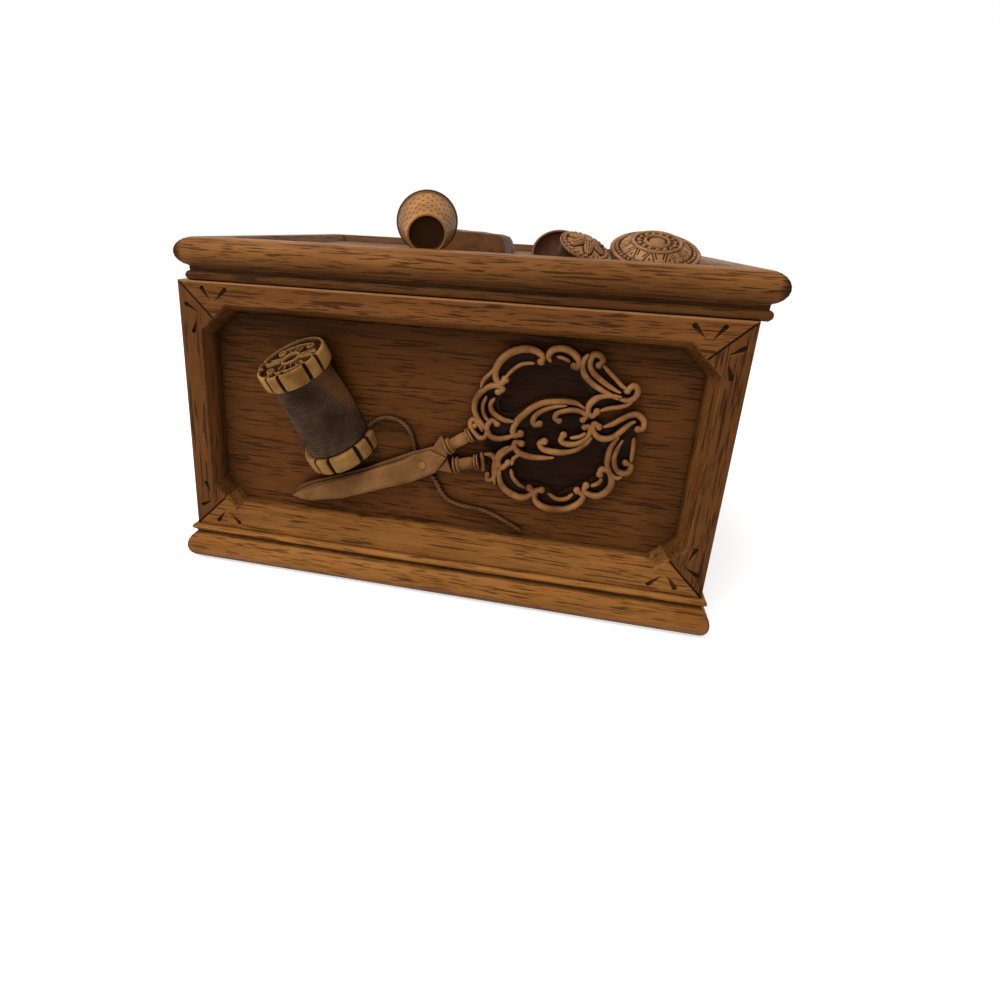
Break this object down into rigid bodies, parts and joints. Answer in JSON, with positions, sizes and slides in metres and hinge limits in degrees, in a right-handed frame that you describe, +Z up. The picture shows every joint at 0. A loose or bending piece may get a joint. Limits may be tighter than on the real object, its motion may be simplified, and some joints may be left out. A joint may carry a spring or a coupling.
{
  "type": "sewing box",
  "caption": "Wooden thread spool storage box with a lift-off lid, mitred mouldings and sewing things in relief on its front and lid.",
  "frame": {"origin": "centre of the base's underside, on the surface that the box stands on", "axes": "+Z up, -Y towards the decorated front, +X to the viewer's right"},
  "size_m": [0.2515, 0.2008, 0.1811],
  "materials": {
    "moulding_wood": "satin",
    "frame_wood": "satin",
    "wall_wood": "satin",
    "panel_wood": "satin",
    "inner_wood": "matte",
    "ornament": "satin",
    "thread": "matte",
    "tail_thread": "satin",
    "felt": "matte"
  },
  "bodies": {
    "box": {"base_front": "moulding_wood", "base_back": "moulding_wood", "base_left": "moulding_wood", "base_right": "moulding_wood", "bottom_board": "inner_wood", "felt_liner": "felt", "front_top_rail": "frame_wood", "front_bottom_rail": "frame_wood", "front_left_stile": "frame_wood", "front_right_stile": "frame_wood", "front_panel": "panel_wood", "side_wall_left": "wall_wood", "side_wall_right": "wall_wood", "back_wall": "wall_wood", "spool_top_flange": "ornament", "spool_bottom_flange": "ornament", "spool_core": "thread", "spool_winding": "thread", "thread_tail": "tail_thread", "scissors_front_blade": "ornament", "scissors_back_blade": "ornament", "scissors_pivot_screw": "ornament", "scissors_upper_shank": "ornament", "scissors_lower_shank": "ornament", "scissors_upper_handle": "ornament", "scissors_lower_handle": "ornament"},
    "lid": {"lid_front_rail": "moulding_wood", "lid_back_rail": "moulding_wood", "lid_left_rail": "moulding_wood", "lid_right_rail": "moulding_wood", "lid_panel": "panel_wood", "lid_batten_front": "inner_wood", "lid_batten_back": "inner_wood", "lid_batten_left": "inner_wood", "lid_batten_right": "inner_wood", "thimble": "ornament", "thimble_rim": "ornament", "large_button": "ornament", "large_button_boss": "ornament", "petal_button": "ornament", "hollow_button": "ornament", "ribbon_end": "ornament"}
  },
  "joints": [
    {"name": "lid_lift", "type": "slide", "parent": "box", "child": "lid", "axis": [0, 0, 1], "range_m": [0, 0.15]}
  ]
}
